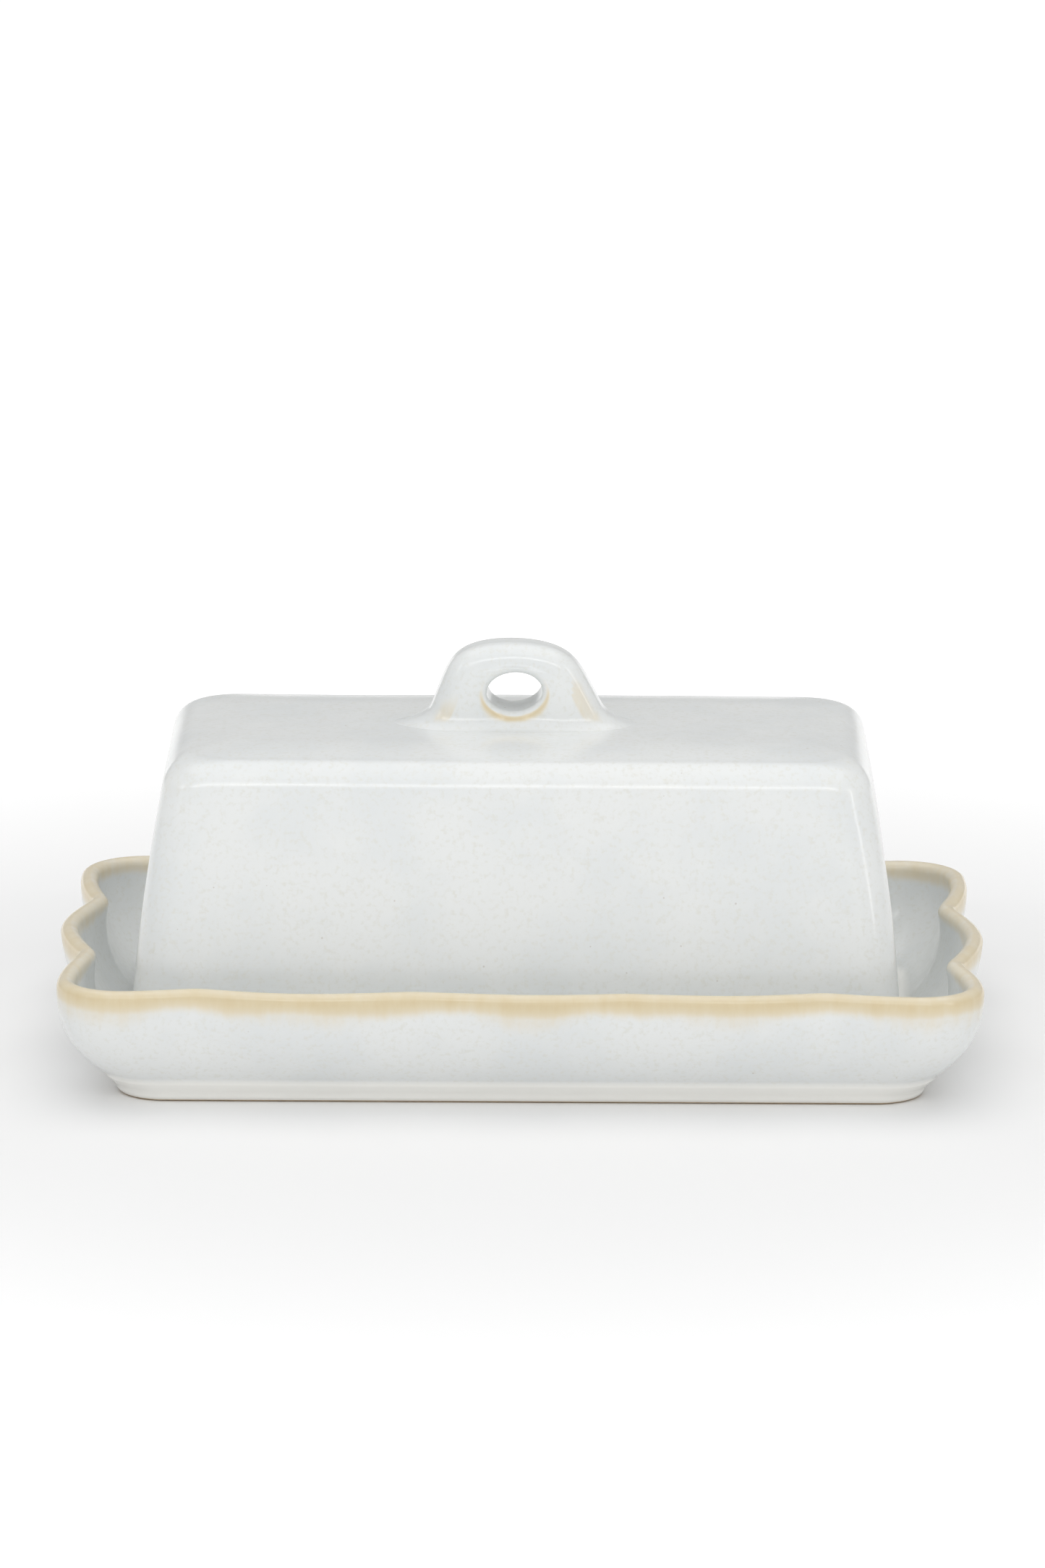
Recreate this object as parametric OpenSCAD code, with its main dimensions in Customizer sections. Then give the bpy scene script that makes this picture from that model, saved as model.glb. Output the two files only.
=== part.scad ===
// Butter dish: a ruffled stoneware tray, and a tall lid with a pierced pull that lifts off it.
// The tray stands on z = 0 with its middle on the Z axis, and its length runs along X.

/* [Tray] */
// Length over the middle lobes of the two ends
tray_length = 210; // [180:1:260]
// Width over the middle lobes of the two long sides
tray_width = 131.5; // [115:0.5:165]
// Height of the rim's crest above the table
tray_height = 28; // [23:0.5:40]
// Wall thickness at the rim
tray_wall = 4; // [3:0.25:5]
// Thickness of the floor
tray_floor = 5; // [4:0.25:7]
// How far the rim hangs out past the top of the foot band
tray_flare = 10; // [8:0.5:13]
// How much thicker the wall is where it meets the floor
tray_heel = 1; // [0.5:0.25:2]
// Plan radius of the rim's corners
tray_corner = 15; // [12:0.5:20]
// Plan radius of the foot's corners
foot_corner = 11.5; // [9:0.5:13]
// Plan radius of the corners of the floor
floor_corner = 9; // [6:0.5:12]

/* [Foot] */
// Height of the steep band round the foot
foot_band = 5.5; // [4:0.25:7]
// How far the foot band leans in from its top to its bottom
foot_lean = 2.5; // [0:0.25:3.5]
// Radius of the edge between the foot band and the underside
foot_edge = 2; // [1:0.25:3]
// Width of the ring that the tray stands on
foot_ring = 7; // [5:0.5:12]
// Depth of the recess inside that ring
foot_recess = 1; // [0.5:0.1:1.5]

/* [Ruffle] */
// Width of one lobe of a long side, from furrow to furrow
long_lobe = 47; // [36:1:48]
// Width of the middle lobe of an end, from furrow to furrow
end_lobe = 51; // [36:1:54]
// Depth of the two inner furrows of a long side, at the rim
inner_furrow = 2.3; // [0:0.1:4]
// Depth of the two outer furrows of a long side, at the rim
outer_furrow = 3.4; // [0:0.1:5]
// Depth of the furrows of an end, at the rim
end_furrow = 4.9; // [0:0.1:6]
// How far the middle of an end bows out past its corners
end_bow = 1.75; // [0:0.25:4]
// How far the middle of a long side bows out past its corners
long_bow = 0.7; // [0:0.1:3]

/* [Lid] */
// Height of the lid's top above its foot, without the pull
lid_height = 70.2; // [50:0.1:95]
// Wall thickness of the lid
lid_wall = 4.5; // [3.5:0.25:6]
// Thickness of the lid's roof
lid_roof = 5.5; // [4.5:0.25:8]
// How far each long side leans in from the lid's foot to its shoulder
lid_side_taper = 9.2; // [5:0.2:12]
// How far each end leans in from the lid's foot to its shoulder
lid_end_taper = 7; // [4:0.2:12]
// Radius of the long edges round the top
lid_edge = 6.5; // [4:0.5:9]
// Plan radius of the upright corners at the top
lid_top_corner = 9; // [7.5:0.5:13]
// Rise of the roof from its edges to its middle
lid_crown = 1.2; // [0:0.1:2]
// Gap between the lid's foot and the edge of the tray's floor
lid_play = 1.8; // [1:0.1:4]
// Gap between the lid's foot and the floor that it stands on
lid_seat_gap = 0.1; // [0.05:0.05:0.3]

/* [Pull] */
// Height of the pull above the lid's roof
pull_height = 19.2; // [17:0.1:30]
// Length of the pull where it leaves the roof
pull_length = 42.5; // [36:0.5:56]
// How much shorter the pull would be at its top, before its corners are rounded
pull_taper = 17.6; // [8:0.2:20]
// Thickness of the pull, front to back
pull_thick = 13.7; // [10:0.1:18]
// Radius of the pull's front and back edges
pull_edge = 3.6; // [2:0.1:4.5]
// Radius of the flared foot that runs out onto the roof
pull_flare = 4; // [2:0.1:5]
// Height of the eye
eye_height = 10.5; // [8:0.1:12]
// Width of the eye
eye_width = 12.1; // [12:0.1:16]
// Height of the eye's middle above the roof
eye_rise = 8.3; // [7:0.1:12]

/* [Hidden] */

$fn = 48;
overshoot = 1;            // how far a cut runs past the face that it opens
lean_power = 2.3;         // the wall leans hard at the foot and stands upright at the rim
straight_share = 0.3;     // share of the lid's taper that is straight; the rest is bowed
top_power = 11;           // how square the shoulders of the pull are
furrow_tip = 1.5;         // rounds the bottom of a furrow
crown_run = 12;           // distance over which the roof rises to its flat middle
lid_foot_edge = 1.5;      // radius of the edges of the lid's foot
lid_least_corner = 2;     // smallest plan radius inside the lid's foot
roof_edge = 5;            // radius inside the lid, between wall and roof
flare_start = 0.1;        // share of the pull's flared foot that is left off at its thin edge
pull_least_flat = 0.5;    // half the flat that a rounded ring of the pull keeps on each side

// The nominal outline of the rim, without ruffle and bow.
rim_x = tray_length / 2 - end_bow;
rim_y = tray_width / 2 - long_bow;

// The flat of the floor, and the lid's foot that stands on it with play all round.
floor_in = tray_wall + tray_flare + tray_heel;
floor_x = rim_x - floor_in;
floor_y = rim_y - floor_in;
lid_x = floor_x - lid_play;
lid_y = floor_y - lid_play;
lid_corner = floor_corner - lid_play;
lid_foot_z = tray_floor + lid_seat_gap;
roof_z = lid_foot_z + lid_height;

// Points along a straight long side, a straight end and one corner of each ring.
TRAY_STEPS = [32, 20, 6];
LID_STEPS = [6, 4, 8];
PULL_STEPS = [3, 2, 6];

function mix(a, b, t) = a + (b - a) * t;

// Depth of one furrow at a distance from its middle, with round lobes on both sides of it.
function furrow(depth, distance, reach) =
    let (soft = sqrt(distance * distance + furrow_tip * furrow_tip) - furrow_tip)
    depth * (1 - sin(90 * min(1, soft / reach)));

// How far a long side is set back from its nominal line, at x on the rim.
function long_set_back(x, half) =
    let (reach = long_lobe / 2)
    max(furrow(inner_furrow, abs(abs(x) - reach), reach),
        furrow(outer_furrow, abs(abs(x) - 3 * reach), reach))
    * min(1, (half - abs(x)) / furrow_tip) - long_bow * cos(90 * x / half);

// How far an end is set back from its nominal line, at y on the rim.
function end_set_back(y, half) =
    let (reach = end_lobe / 2)
    furrow(end_furrow, abs(abs(y) - reach), min(reach, half - reach))
    - end_bow * cos(90 * y / half);

// One straight side of a ring, facing -Y: out is its distance from the middle, and backs
// holds how far each of its points is set back from there.
function side(half, out, backs, steps) =
    [for (i = [0:steps]) [mix(-half, half, i / steps), -(out - backs[i])]];

function turned(points, angle) =
    [for (p = points) [p.x * cos(angle) - p.y * sin(angle), p.x * sin(angle) + p.y * cos(angle)]];

// The round corner that follows a side: centre at (cx, -cy), from facing -Y to facing +X.
function corner(cx, cy, r, steps) =
    [for (i = [1:steps - 1])
        let (a = -90 + 90 * i / steps)
        [cx + r * cos(a), -cy + r * sin(a)]];

// A closed ring at height z: a rounded rectangle whose sides can be set back by the ruffle.
// ruffle is 1 at the rim and 0 where the ring is plain.
function ring(hx, hy, r, z, steps, ruffle = 0) =
    let (
        sx = hx - r,
        sy = hy - r,
        rim_sx = rim_x - tray_corner,
        rim_sy = rim_y - tray_corner,
        long_backs = [for (i = [0:steps[0]])
            ruffle == 0 ? 0 : ruffle * long_set_back(mix(-rim_sx, rim_sx, i / steps[0]), rim_sx)],
        end_backs = [for (i = [0:steps[1]])
            ruffle == 0 ? 0 : ruffle * end_set_back(mix(-rim_sy, rim_sy, i / steps[1]), rim_sy)],
        front = concat(side(sx, hy, long_backs, steps[0]), corner(sx, sy, r, steps[2])),
        right = concat(side(sy, hx, end_backs, steps[1]), corner(sy, sx, r, steps[2])),
        half_turn = concat(front, turned(right, 90)),
        outline = concat(half_turn, turned(half_turn, 180))
    )
    [for (p = outline) [p.x, p.y, z]];

// A solid skinned over rings, with a flat cap on the first ring and on the last.
// Each cap is a fan round its own middle point, because a ring has points in straight rows.
module skin(rings) {
    n = len(rings[0]);
    last = len(rings) - 1;
    middles = [for (k = [0, last]) [0, 0, rings[k][0].z]];
    points = concat([for (r = rings) for (p = r) p], middles);
    first_middle = n * (last + 1);
    walls = [for (k = [0:last - 1]) for (i = [0:n - 1])
        [k * n + i, (k + 1) * n + i, (k + 1) * n + (i + 1) % n, k * n + (i + 1) % n]];
    first_cap = [for (i = [0:n - 1]) [first_middle, i, (i + 1) % n]];
    last_cap = [for (i = [0:n - 1]) [first_middle + 1, last * n + (i + 1) % n, last * n + i]];
    polyhedron(points, concat(first_cap, walls, last_cap), convexity = 6);
}

// How far the wall stands in from the rim, at a share s of its height.
function lean(s) = tray_flare * pow(1 - s, lean_power);

function tray_ring(inset, r, z, ruffle) =
    ring(rim_x - inset, rim_y - inset, r, z, TRAY_STEPS, ruffle);

module tray() {
    rim_r = tray_wall / 2;
    top = tray_height - rim_r;
    foot_in = tray_flare + foot_lean;
    foot_steps = [0:30:90];
    wall_steps = [0, 0.18, 0.36, 0.56, 0.78, 1];
    recess_in = foot_in + foot_edge + foot_ring;
    foot_rings = [for (a = foot_steps)
        tray_ring(foot_in + foot_edge * (1 - sin(a)), foot_corner - foot_edge * (1 - sin(a)),
            foot_edge * (1 - cos(a)), 0)];
    outer_rings = [for (s = wall_steps)
        tray_ring(lean(s), mix(foot_corner, tray_corner, s), mix(foot_band, top, s), s)];
    rim_rings = [for (a = [45:45:135])
        tray_ring(rim_r * (1 - cos(a)), tray_corner - rim_r * (1 - cos(a)),
            top + rim_r * sin(a), 1)];
    inner_rings = [for (i = [len(wall_steps) - 1:-1:0])
        let (s = wall_steps[i])
        tray_ring(tray_wall + lean(s) + tray_heel * pow(1 - s, lean_power),
            mix(floor_corner, tray_corner - tray_wall, s), mix(tray_floor, top, s), s)];
    color("ivory")
    difference() {
        skin(concat(foot_rings, outer_rings, rim_rings, inner_rings));
        translate([0, 0, -overshoot])
            rounded_plate(rim_x - recess_in, rim_y - recess_in, floor_corner,
                foot_recess + overshoot);
    }
}

// A flat plate with round corners, its half sizes given, standing on z = 0.
module rounded_plate(hx, hy, r, thick) {
    linear_extrude(thick) {
        square([2 * (hx - r), 2 * hy], center = true);
        square([2 * hx, 2 * (hy - r)], center = true);
        for (sx = [-1, 1], sy = [-1, 1])
            translate([sx * (hx - r), sy * (hy - r)]) circle(r);
    }
}

// A ring of the lid: s is its share of the height to the shoulder, which sets how far the
// sides and ends lean in, and inset is how far it stands inside the leaning outer face.
function lid_ring(s, inset, r, z) =
    let (lean_in = straight_share * s + (1 - straight_share) * s * s)
    ring(lid_x - lid_end_taper * lean_in - inset, lid_y - lid_side_taper * lean_in - inset,
        r, z, LID_STEPS);

module lid_shell() {
    shoulder_z = roof_z - lid_crown - lid_edge;
    ceiling_z = roof_z - lid_crown - lid_roof;
    inner_top = ceiling_z - roof_edge;
    inner_r = max(lid_corner - lid_wall, lid_least_corner);
    inner_top_r = lid_top_corner - lid_wall;
    ceiling_rings = [for (a = [90:-30:0])
        lid_ring(1, lid_wall + roof_edge * (1 - cos(a)), inner_top_r, inner_top + roof_edge * sin(a))];
    inner_rings = [for (s = [0.8:-0.2:0.2])
        lid_ring(s, lid_wall, mix(inner_r, inner_top_r, s),
            mix(lid_foot_z + lid_foot_edge, inner_top, s))];
    foot_in = lid_wall - lid_foot_edge;
    foot_rings = concat(
        [for (a = [180:-45:90])
            lid_ring(0, foot_in - lid_foot_edge * cos(a), mix(inner_r, lid_corner, 0.5),
                lid_foot_z + lid_foot_edge * (1 - sin(a)))],
        [for (a = [90:-45:0])
            lid_ring(0, lid_foot_edge * (1 - cos(a)), lid_corner,
                lid_foot_z + lid_foot_edge * (1 - sin(a)))]);
    outer_rings = [for (s = [0.2:0.2:1])
        lid_ring(s, 0, mix(lid_corner, lid_top_corner, s),
            mix(lid_foot_z + lid_foot_edge, shoulder_z, s))];
    edge_rings = [for (a = [22.5:22.5:90])
        lid_ring(1, lid_edge * (1 - cos(a)), lid_top_corner, shoulder_z + lid_edge * sin(a))];
    crown_rings = [for (t = [0.5, 1])
        lid_ring(1, lid_edge + crown_run * t, lid_top_corner,
            roof_z - lid_crown * (1 - t) * (1 - t))];
    color("ivory")
    skin(concat(ceiling_rings, inner_rings, foot_rings, outer_rings, edge_rings, crown_rings));
}

// Half the pull's length at a share v of its height, before its shoulders are rounded.
function pull_half(v) = pull_length / 2 - pull_taper / 2 * v;

// Half the pull's thickness at a distance below its top, where its edges round over.
function pull_depth(below) =
    let (t = max(0, 1 - below / pull_edge))
    pull_thick / 2 - pull_edge * (1 - sqrt(1 - t * t));

// A plain ring of the pull, with its corners no rounder than its thickness allows.
function pull_ring(hx, hy, r, z) =
    ring(hx, hy, min(r, hx - pull_least_flat, hy - pull_least_flat), z, PULL_STEPS);

module lid_handle() {
    flare_rings = [for (q = [flare_start, 0.3, 0.6, 1])
        let (out = pull_flare * (1 - sqrt(1 - (1 - q) * (1 - q))))
        pull_ring(pull_half(0) + out, pull_thick / 2 + out, pull_edge + out,
            roof_z + pull_flare * (q - flare_start) / (1 - flare_start))];
    body_rings = [for (v = [0.4, 0.6, 0.75])
        pull_ring(pull_half(v) * sqrt(1 - pow(v, top_power)), pull_thick / 2, pull_edge,
            roof_z + pull_height * v)];
    top_rings = [for (a = [20:12:80])
        let (v = pow(sin(a), 2 / top_power))
        pull_ring(pull_half(v) * cos(a), pull_depth(pull_height * (1 - v)), pull_edge,
            roof_z + pull_height * v)];
    color("ivory")
    difference() {
        skin(concat(flare_rings, body_rings, top_rings));
        eye();
    }
}

// The eye through the pull, front to back: two round ends and the flat between them.
module eye() {
    r = eye_height / 2;
    spread = (eye_width - eye_height) / 2;
    length = pull_thick + 2 * pull_flare + 2 * overshoot;
    translate([0, 0, roof_z + eye_rise])
    rotate([90, 0, 0]) {
        for (side = [-1, 1])
            translate([side * spread, 0, 0]) cylinder(h = length, r = r, center = true);
        cube([2 * spread, eye_height, length], center = true);
    }
}

tray();
lid_shell();
lid_handle();
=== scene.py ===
"""A stoneware butter dish: a ruffled tray, and a tall lid with a pierced pull, in a studio.

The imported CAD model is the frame. Each of its three nodes is replaced by a finely modelled
piece in the same place, and every piece is dressed in the glaze that it was fired with.
Meshes are drawn in millimetres and scaled to metres when they are finished.
"""

import logging
import math
from dataclasses import dataclass
from enum import Enum

import bmesh
import bpy
from mathutils import Euler, Matrix, Vector, noise


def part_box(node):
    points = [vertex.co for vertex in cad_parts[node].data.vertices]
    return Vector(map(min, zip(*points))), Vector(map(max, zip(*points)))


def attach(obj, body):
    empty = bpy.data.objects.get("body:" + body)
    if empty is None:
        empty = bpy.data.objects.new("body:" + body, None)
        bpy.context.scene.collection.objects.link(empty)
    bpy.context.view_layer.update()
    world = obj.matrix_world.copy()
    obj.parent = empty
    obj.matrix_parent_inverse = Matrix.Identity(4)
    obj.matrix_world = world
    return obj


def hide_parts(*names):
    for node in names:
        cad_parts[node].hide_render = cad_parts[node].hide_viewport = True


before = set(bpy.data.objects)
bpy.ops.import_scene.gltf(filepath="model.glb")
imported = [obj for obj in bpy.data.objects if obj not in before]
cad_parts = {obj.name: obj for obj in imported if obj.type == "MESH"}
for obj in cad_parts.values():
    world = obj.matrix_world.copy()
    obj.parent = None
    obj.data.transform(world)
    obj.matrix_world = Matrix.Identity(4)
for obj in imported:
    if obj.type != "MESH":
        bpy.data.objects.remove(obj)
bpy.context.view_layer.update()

LOG = logging.getLogger("butter_dish")
MM = 0.001
BREAK = "glaze_break"
BARE = "bare_clay"
SEED_STEPS = (1.0, 2.3, 0.7)
LEAST_FLAT = 0.2
WELD = 0.001
SPECK_EDGE = 0.4


# ---------------------------------------------------------------- numbers


def mix(a: float, b: float, t: float) -> float:
    """Returns the value a share t of the way from a to b."""
    return a + (b - a) * t


def ease(low: float, high: float, x: float) -> float:
    """Returns 0 below low and 1 above high, with a smooth rise between; low may be the higher."""
    t = min(1.0, max(0.0, (x - low) / (high - low)))
    return t * t * (3 - 2 * t)


def shares(count: int) -> list[float]:
    """Returns count + 1 even shares from 0 to 1."""
    return [i / count for i in range(count + 1)]


def turns(start: float, end: float, count: int) -> list[float]:
    """Returns count + 1 angles in radians, from start to end, which are in degrees."""
    return [math.radians(mix(start, end, t)) for t in shares(count)]


def node_box(node: str) -> tuple[Vector, Vector]:
    """Returns the lowest and the highest corner of a CAD node, in millimetres."""
    low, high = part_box(node)
    return low / MM, high / MM


@dataclass(frozen=True)
class Swell:
    """A slow, repeatable unevenness, as fingers leave in clay: its height and its wave length.

    Sizes in millimetres; the seed picks one pattern out of many.
    """

    height: float
    wave: float
    seed: float

    def at(self, place: Vector) -> float:
        """Returns the unevenness at a place, between about -height and height."""
        shift = Vector([self.seed * step for step in SEED_STEPS])
        return self.height * noise.noise(place / self.wave + shift)


# ---------------------------------------------------------------- skins drawn ring by ring


@dataclass(frozen=True)
class Spot:
    """One point of a ring: its place in millimetres, and what the glaze does there."""

    place: Vector
    honey: float = 0.0
    bare: float = 0.0


class Skin:
    """A closed skin drawn ring by ring: each ring is extruded from the last and put in place."""

    def __init__(self, spots: list[Spot]) -> None:
        """Draws the first ring.

        Args:
            spots: The points of the ring, in order.
        """
        self.mesh = bmesh.new()
        layers = self.mesh.verts.layers
        self.order = layers.int.new("order")
        self.honey = layers.float.new(BREAK)
        self.bare = layers.float.new(BARE)
        ring = bmesh.ops.create_circle(self.mesh, segments=len(spots), radius=1.0)["verts"]
        for number, vert in enumerate(ring):
            vert[self.order] = number
        self.edges = list(self.mesh.edges)
        self.put(ring, spots)

    def put(self, ring: list[bmesh.types.BMVert], spots: list[Spot]) -> None:
        """Moves a ring's points to their places and tells each what its glaze does."""
        for vert in ring:
            spot = spots[vert[self.order]]
            vert.co = spot.place
            vert[self.honey] = spot.honey
            vert[self.bare] = spot.bare

    def grow(self, spots: list[Spot]) -> None:
        """Extrudes the last ring and puts the new one in place."""
        made = bmesh.ops.extrude_edge_only(self.mesh, edges=self.edges)["geom"]
        ring = [part for part in made if isinstance(part, bmesh.types.BMVert)]
        fresh = set(ring)
        self.edges = [
            part for part in made
            if isinstance(part, bmesh.types.BMEdge) and all(v in fresh for v in part.verts)
        ]
        self.put(ring, spots)

    def cap(self) -> None:
        """Fills the ring drawn last."""
        bmesh.ops.edgeloop_fill(self.mesh, edges=self.edges)

    def cap_all(self) -> None:
        """Fills every ring that is still open."""
        open_edges = [edge for edge in self.mesh.edges if edge.is_boundary]
        bmesh.ops.holes_fill(self.mesh, edges=open_edges, sides=0)


def finish_piece(mesh: bmesh.types.BMesh, name: str, material: bpy.types.Material) -> bpy.types.Object:
    """Turns a mesh drawn in millimetres into a smooth object in metres.

    Args:
        mesh: The closed mesh, which is freed.
        name: The piece's name.
        material: Its glaze.

    Returns:
        The object, at the origin, in the scene.
    """
    bmesh.ops.recalc_face_normals(mesh, faces=mesh.faces)
    bmesh.ops.scale(mesh, vec=Vector((MM, MM, MM)), verts=mesh.verts)
    for face in mesh.faces:
        face.smooth = True
    data = bpy.data.meshes.new(name)
    mesh.to_mesh(data)
    mesh.free()
    data.materials.append(material)
    piece = bpy.data.objects.new(name, data)
    bpy.context.scene.collection.objects.link(piece)
    return piece


# ---------------------------------------------------------------- outlines


class Stretch(Enum):
    """The eight stretches of a rounded rectangle, in order, from the front's left end."""

    FRONT = 0
    FRONT_RIGHT = 1
    RIGHT = 2
    BACK_RIGHT = 3
    BACK = 4
    BACK_LEFT = 5
    LEFT = 6
    FRONT_LEFT = 7

    @property
    def is_corner(self) -> bool:
        """Says whether the stretch is a quarter circle."""
        return self.value % 2 == 1


@dataclass(frozen=True)
class Outline:
    """How the points of a rounded rectangle are shared out among its stretches."""

    long_points: int
    end_points: int
    corner_points: int

    def places(self) -> list[tuple[Stretch, float]]:
        """Returns the stretch of each point, and the share of the stretch before it."""
        counts = {Stretch.FRONT: self.long_points, Stretch.BACK: self.long_points,
                  Stretch.RIGHT: self.end_points, Stretch.LEFT: self.end_points}
        found = []
        for stretch in Stretch:
            count = counts.get(stretch, self.corner_points)
            found += [(stretch, i / count) for i in range(count)]
        return found


def along(stretch: Stretch, share: float, half: float) -> float:
    """The x or y of a point on a straight stretch.

    Args:
        stretch: One of the four straight stretches.
        share: How far along it the point is, in the outline's direction.
        half: Half the straight length.

    Returns:
        x on the front and back, y on the ends.
    """
    forward = stretch in (Stretch.FRONT, Stretch.RIGHT)
    return mix(-half, half, share) if forward else mix(half, -half, share)


def rounded(stretch: Stretch, share: float, half_x: float, half_y: float, radius: float,
            back: float = 0.0) -> tuple[float, float]:
    """A point of a rounded rectangle.

    Args:
        stretch: The stretch that holds the point.
        share: How far along the stretch it is.
        half_x: Half the rectangle's length.
        half_y: Half its width.
        radius: The radius of its corners.
        back: How far a point of a straight stretch is set back.

    Returns:
        The point's x and y.
    """
    radius = min(radius, half_x - LEAST_FLAT, half_y - LEAST_FLAT)
    flat_x, flat_y = half_x - radius, half_y - radius
    if stretch.is_corner:
        quarter = stretch.value // 2
        angle = math.radians(90 * (quarter + share) - 90)
        sign_x = 1 if quarter in (0, 1) else -1
        sign_y = -1 if quarter in (0, 3) else 1
        return (sign_x * flat_x + radius * math.cos(angle),
                sign_y * flat_y + radius * math.sin(angle))
    if stretch in (Stretch.FRONT, Stretch.BACK):
        side = -1 if stretch is Stretch.FRONT else 1
        return along(stretch, share, flat_x), side * (half_y - back)
    side = 1 if stretch is Stretch.RIGHT else -1
    return side * (half_x - back), along(stretch, share, flat_y)


# ---------------------------------------------------------------- shader nodes


def linear(code: str) -> tuple[float, float, float, float]:
    """Turns an sRGB hex colour into the linear colour that shaders take."""
    values = [int(code[i:i + 2], 16) / 255 for i in (1, 3, 5)]
    red, green, blue = (v / 12.92 if v <= 0.04045 else ((v + 0.055) / 1.055) ** 2.4 for v in values)
    return red, green, blue, 1.0


def add_node(tree: bpy.types.NodeTree, kind: str, links: dict | None = None,
             values: dict | None = None, **settings: object) -> bpy.types.ShaderNode:
    """Adds a node with its settings, values and links.

    Args:
        tree: The tree that gets the node.
        kind: The node's type, such as ShaderNodeMath.
        links: The output that feeds each input, by the input's name or number.
        values: The value of each unlinked input, by its name or number.
        **settings: The node's own properties.

    Returns:
        The new node.
    """
    node = tree.nodes.new(kind)
    for name, value in settings.items():
        setattr(node, name, value)
    for key, value in (values or {}).items():
        node.inputs[key].default_value = value
    for key, source in (links or {}).items():
        tree.links.new(source, node.inputs[key])
    return node


def fill_ramp(node: bpy.types.ShaderNode, stops: tuple[tuple[float, str], ...]) -> None:
    """Gives a colour ramp its stops, each a position and an sRGB hex colour."""
    ramp = node.color_ramp
    while len(ramp.elements) < len(stops):
        ramp.elements.new(1.0)
    for element, (position, code) in zip(ramp.elements, stops):
        element.position = position
        element.color = linear(code)


@dataclass(frozen=True)
class Mottle:
    """A soft cloudy pattern, and the stretch of its values over which it comes to show."""

    size_mm: float
    detail: float
    low: float
    high: float
    strength: float = 1.0


@dataclass(frozen=True)
class Specks:
    """Small round specks: how far apart they may lie, the largest radius, and how many there are."""

    cell_mm: float
    radius_mm: float
    share: float
    strength: float


@dataclass(frozen=True)
class Relief:
    """Unevenness of the glaze's surface: how wide, how finely broken up, how strong, how deep."""

    size_mm: float
    detail: float
    strength: float
    depth_mm: float


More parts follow.
